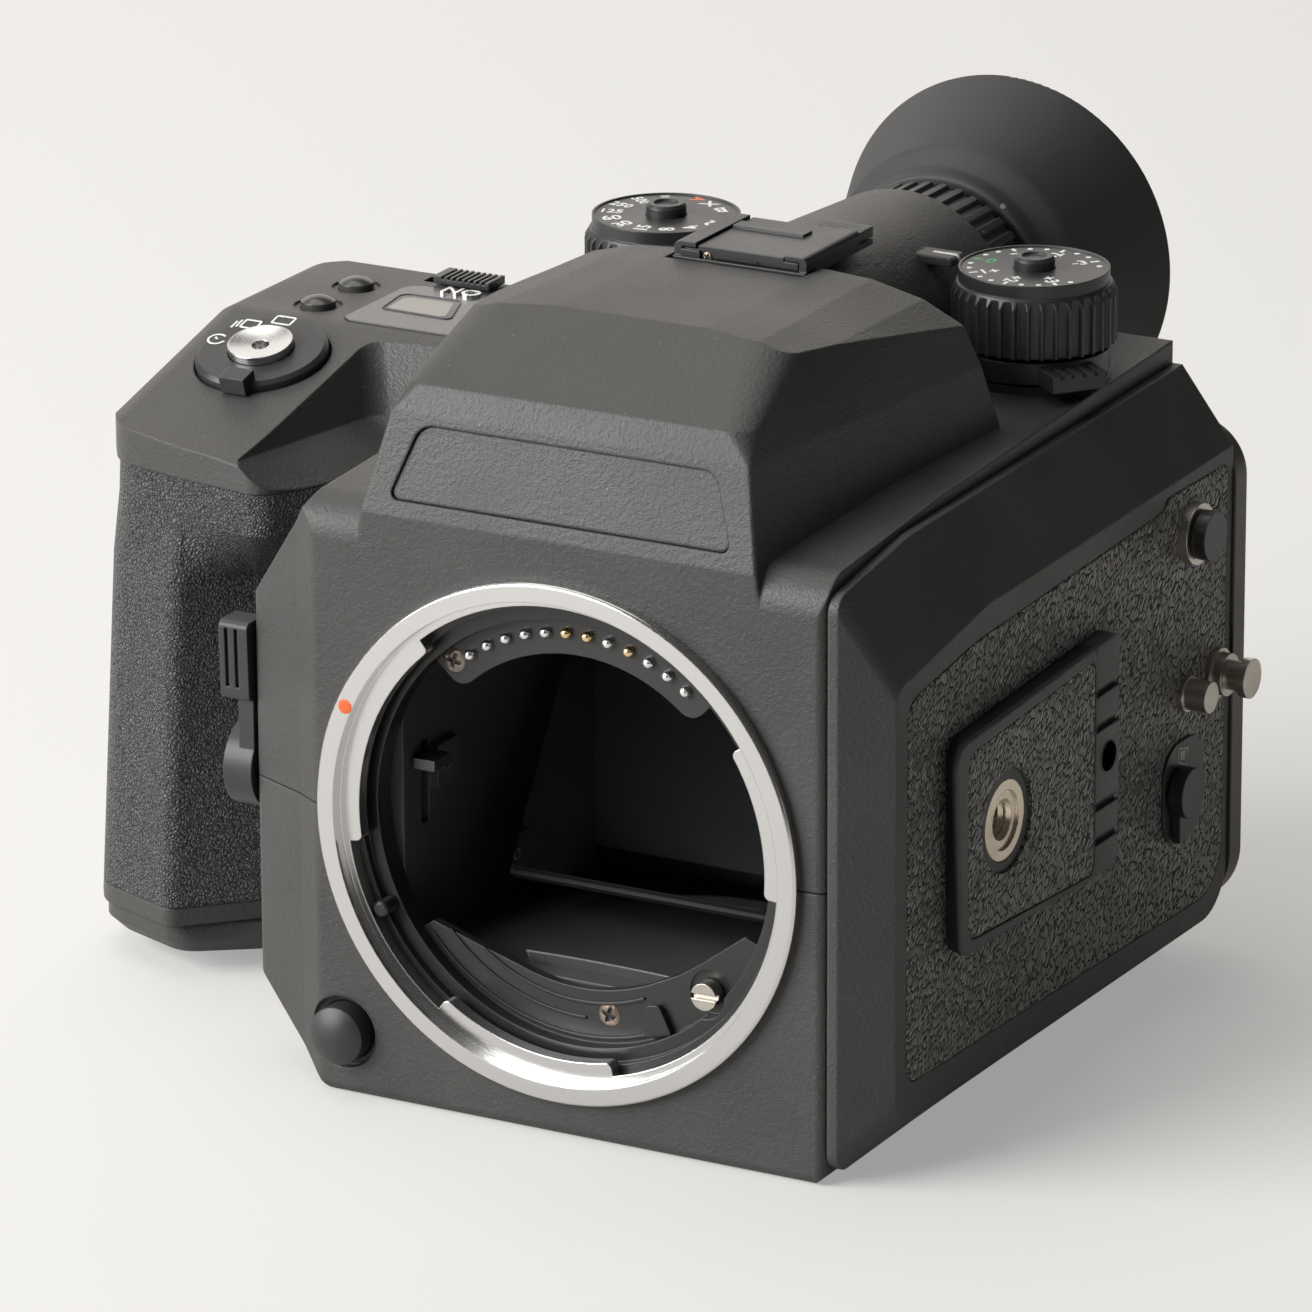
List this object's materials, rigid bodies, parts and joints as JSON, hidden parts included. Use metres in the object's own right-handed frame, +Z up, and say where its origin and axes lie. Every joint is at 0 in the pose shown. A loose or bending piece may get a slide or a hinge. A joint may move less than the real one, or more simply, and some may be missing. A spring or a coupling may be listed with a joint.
{
  "type": "medium format film camera",
  "caption": "Medium format film reflex camera body with side grip, prism finder hood and open bayonet lens mount, without lens.",
  "frame": {"origin": "centre of the lens mount on the front face of its ring", "axes": "+X to the right seen from the front, towards the side panel; +Y back through the body to the eyecup; +Z up"},
  "size_m": [0.1598, 0.1433, 0.1224],
  "materials": {
    "black_paint": "fine matte black paint with a light speckle",
    "black_plastic": "matte black plastic",
    "satin_black": "satin black paint inside the throat",
    "flat_black": "flat black, glare free",
    "grip_rubber": "pebbled black rubber",
    "eyecup_rubber": "smooth matte black rubber",
    "side_leather": "black leatherette with a long wavy grain",
    "bright_steel": "bright machined steel",
    "nickel": "dull nickel",
    "gold": "gold-plated contact",
    "optical_glass": "clear polished optical glass",
    "ground_glass": "fine ground glass",
    "mirror": "front-silvered mirror",
    "shutter_metal": "thin dark blades",
    "display": "smooth dark display cover"
  },
  "bodies": {
    "camera_body": {"lower_housing": "black_paint", "upper_housing": "black_paint", "nameplate": "black_paint", "finder_housing": "black_paint", "base_socket": "nickel", "mount_ring": "bright_steel", "throat_ring": "satin_black", "contact_block": "black_plastic", "silver_pins": "nickel", "gold_pins": "gold", "mirror_box": "flat_black", "focusing_screen": "ground_glass", "finder_prism": "optical_glass", "eyepiece_lens": "optical_glass", "shutter_frame": "flat_black", "eyecup": "eyecup_rubber", "hot_shoe": "black_paint", "side_frame": "black_paint", "side_leather": "side_leather", "tripod_lug_plate": "black_paint", "tripod_lug_leather": "side_leather", "side_socket": "bright_steel", "sync_socket": "nickel", "strap_lugs": "nickel", "multi_exposure_plate": "black_plastic", "grip_shell": "grip_rubber", "grip_base": "black_plastic", "grip_top": "black_plastic", "display_panel": "display"},
    "mirror": {"mirror_frame": "flat_black", "reflex_mirror": "mirror"},
    "top_blade": {"shutter_blade_3": "shutter_metal"},
    "middle_blade": {"shutter_blade_2": "shutter_metal"},
    "low_blade": {"shutter_blade_1": "shutter_metal"},
    "film_insert": {"film_insert": "black_plastic"},
    "insert_key": {"film_insert_key": "nickel"},
    "supply_spool": {"supply_spool": "black_plastic"},
    "takeup_spool": {"takeup_spool": "black_plastic"},
    "pressure_plate": {"pressure_plate": "flat_black"},
    "diopter_ring": {"diopter_ring": "black_plastic"},
    "shutter_button": {"shutter_button": "bright_steel"},
    "drive_ring": {"drive_ring": "black_plastic"},
    "up_button": {"up_button": "black_plastic"},
    "down_button": {"down_button": "black_plastic"},
    "power_slider": {"power_slider": "black_plastic"},
    "shutter_dial": {"shutter_dial": "black_plastic"},
    "shutter_dial_lock": {"shutter_dial_lock": "black_plastic"},
    "exposure_dial": {"exposure_dial": "black_plastic"},
    "exposure_dial_lock": {"exposure_dial_lock": "black_plastic"},
    "metering_lever": {"metering_lever": "black_plastic"},
    "multi_exposure_switch": {"multi_exposure_switch": "black_plastic"},
    "sync_cap": {"sync_cap": "black_plastic"},
    "preview_lever": {"preview_lever": "black_plastic"},
    "release_button": {"release_button": "satin_black"},
    "lens_lock_pin": {"lens_lock_pin": "satin_black"},
    "af_coupler": {"af_coupler": "nickel"},
    "aperture_lever": {"aperture_lever": "nickel"},
    "battery_holder": {"battery_holder": "black_plastic"},
    "battery_key": {"battery_key": "black_plastic"},
    "shoe_cover": {"shoe_cover": "black_plastic"}
  },
  "joints": [
    {"name": "mirror_hinge", "type": "hinge", "parent": "camera_body", "child": "mirror", "pos_m": [0, 0.0623, 0.0218], "axis": [-1, 0, 0], "range_deg": [0, 45], "stiffness_Nm_per_rad": 0.02},
    {"name": "top_blade_slide", "type": "slide", "parent": "camera_body", "child": "top_blade", "axis": [0, 0, -1], "range_m": [0, 0.0459]},
    {"name": "middle_blade_slide", "type": "slide", "parent": "camera_body", "child": "middle_blade", "axis": [0, 0, -1], "range_m": [0, 0.0318]},
    {"name": "low_blade_slide", "type": "slide", "parent": "camera_body", "child": "low_blade", "axis": [0, 0, -1], "range_m": [0, 0.0175]},
    {"name": "film_insert_slide", "type": "slide", "parent": "camera_body", "child": "film_insert", "axis": [0, 1, 0], "range_m": [0, 0.004]},
    {"name": "insert_key_turn", "type": "hinge", "parent": "film_insert", "child": "insert_key", "pos_m": [-0.004, 0.1145, 0.004], "axis": [0, 1, 0], "range_deg": [0, 90]},
    {"name": "supply_spool_turn", "type": "hinge", "parent": "film_insert", "child": "supply_spool", "pos_m": [0, 0.088, -0.0226], "axis": [1, 0, 0], "continuous": true},
    {"name": "takeup_spool_turn", "type": "hinge", "parent": "film_insert", "child": "takeup_spool", "pos_m": [0, 0.088, 0.0183], "axis": [1, 0, 0], "continuous": true},
    {"name": "pressure_plate_slide", "type": "slide", "parent": "film_insert", "child": "pressure_plate", "axis": [0, 1, 0], "range_m": [0, 0.0006], "stiffness_N_per_m": 300},
    {"name": "diopter_turn", "type": "hinge", "parent": "camera_body", "child": "diopter_ring", "pos_m": [0, 0.112, 0.0509], "axis": [0, 1, 0], "range_deg": [-60, 60]},
    {"name": "shutter_button_press", "type": "slide", "parent": "camera_body", "child": "shutter_button", "axis": [0, 0.251, -0.968], "range_m": [0, 0.002], "stiffness_N_per_m": 400},
    {"name": "drive_ring_turn", "type": "hinge", "parent": "camera_body", "child": "drive_ring", "pos_m": [-0.081, 0.0576, 0.04498], "axis": [0, -0.251, 0.968], "range_deg": [-25, 25]},
    {"name": "up_button_press", "type": "slide", "parent": "camera_body", "child": "up_button", "axis": [0, 0, -1], "range_m": [0, 0.0008], "stiffness_N_per_m": 400},
    {"name": "down_button_press", "type": "slide", "parent": "camera_body", "child": "down_button", "axis": [0, 0, -1], "range_m": [0, 0.0008], "stiffness_N_per_m": 400},
    {"name": "power_slide", "type": "slide", "parent": "camera_body", "child": "power_slider", "axis": [-1, 0, 0], "range_m": [0, 0.003]},
    {"name": "shutter_dial_turn", "type": "hinge", "parent": "camera_body", "child": "shutter_dial", "pos_m": [-0.0303, 0.0895, 0.06], "axis": [0, 0, 1], "continuous": true},
    {"name": "shutter_lock_press", "type": "slide", "parent": "shutter_dial", "child": "shutter_dial_lock", "axis": [0, 0, -1], "range_m": [0, 0.001], "stiffness_N_per_m": 400},
    {"name": "exposure_dial_turn", "type": "hinge", "parent": "camera_body", "child": "exposure_dial", "pos_m": [0.0303, 0.0895, 0.06], "axis": [0, 0, 1], "continuous": true},
    {"name": "exposure_lock_press", "type": "slide", "parent": "exposure_dial", "child": "exposure_dial_lock", "axis": [0, 0, -1], "range_m": [0, 0.001], "stiffness_N_per_m": 400},
    {"name": "metering_turn", "type": "hinge", "parent": "camera_body", "child": "metering_lever", "pos_m": [0.0303, 0.0895, 0.053], "axis": [0, 0, 1], "range_deg": [-20, 20]},
    {"name": "multi_exposure_turn", "type": "hinge", "parent": "camera_body", "child": "multi_exposure_switch", "pos_m": [0.05403, 0.09326, -0.0119], "axis": [0.9999, -0.0148, 0], "range_deg": [0, 45]},
    {"name": "sync_cap_pull", "type": "slide", "parent": "camera_body", "child": "sync_cap", "axis": [0.9999, -0.0148, 0], "range_m": [0, 0.004]},
    {"name": "preview_turn", "type": "hinge", "parent": "camera_body", "child": "preview_lever", "pos_m": [-0.056, 0.0142, -0.0005], "axis": [1, 0, 0], "range_deg": [-20, 0], "stiffness_Nm_per_rad": 0.1},
    {"name": "release_press", "type": "slide", "parent": "camera_body", "child": "release_button", "axis": [0, 1, 0], "range_m": [0, 0.0025], "stiffness_N_per_m": 400},
    {"name": "lock_pin_slide", "type": "slide", "parent": "camera_body", "child": "lens_lock_pin", "axis": [0, 1, 0], "range_m": [0, 0.0025]},
    {"name": "af_coupler_turn", "type": "hinge", "parent": "camera_body", "child": "af_coupler", "pos_m": [0.021, 0.0075, -0.0206], "axis": [0, 1, 0], "continuous": true},
    {"name": "stop_down_slide", "type": "slide", "parent": "camera_body", "child": "aperture_lever", "axis": [0, 0, -1], "range_m": [0, 0.006], "stiffness_N_per_m": 50},
    {"name": "battery_slide", "type": "slide", "parent": "camera_body", "child": "battery_holder", "axis": [-1, 0, 0], "range_m": [0, 0.034]},
    {"name": "battery_key_turn", "type": "hinge", "parent": "battery_holder", "child": "battery_key", "pos_m": [-0.0987, 0.0673, -0.02], "axis": [1, 0, 0], "range_deg": [0, 90]},
    {"name": "shoe_cover_slide", "type": "slide", "parent": "camera_body", "child": "shoe_cover", "axis": [0, 1, 0], "range_m": [0, 0.021]}
  ],
  "couplings": [
    {"joint": "middle_blade_slide", "follows": "top_blade_slide", "ratio": 0.6885},
    {"joint": "low_blade_slide", "follows": "top_blade_slide", "ratio": 0.3769},
    {"joint": "lock_pin_slide", "follows": "release_press", "ratio": 1}
  ]
}
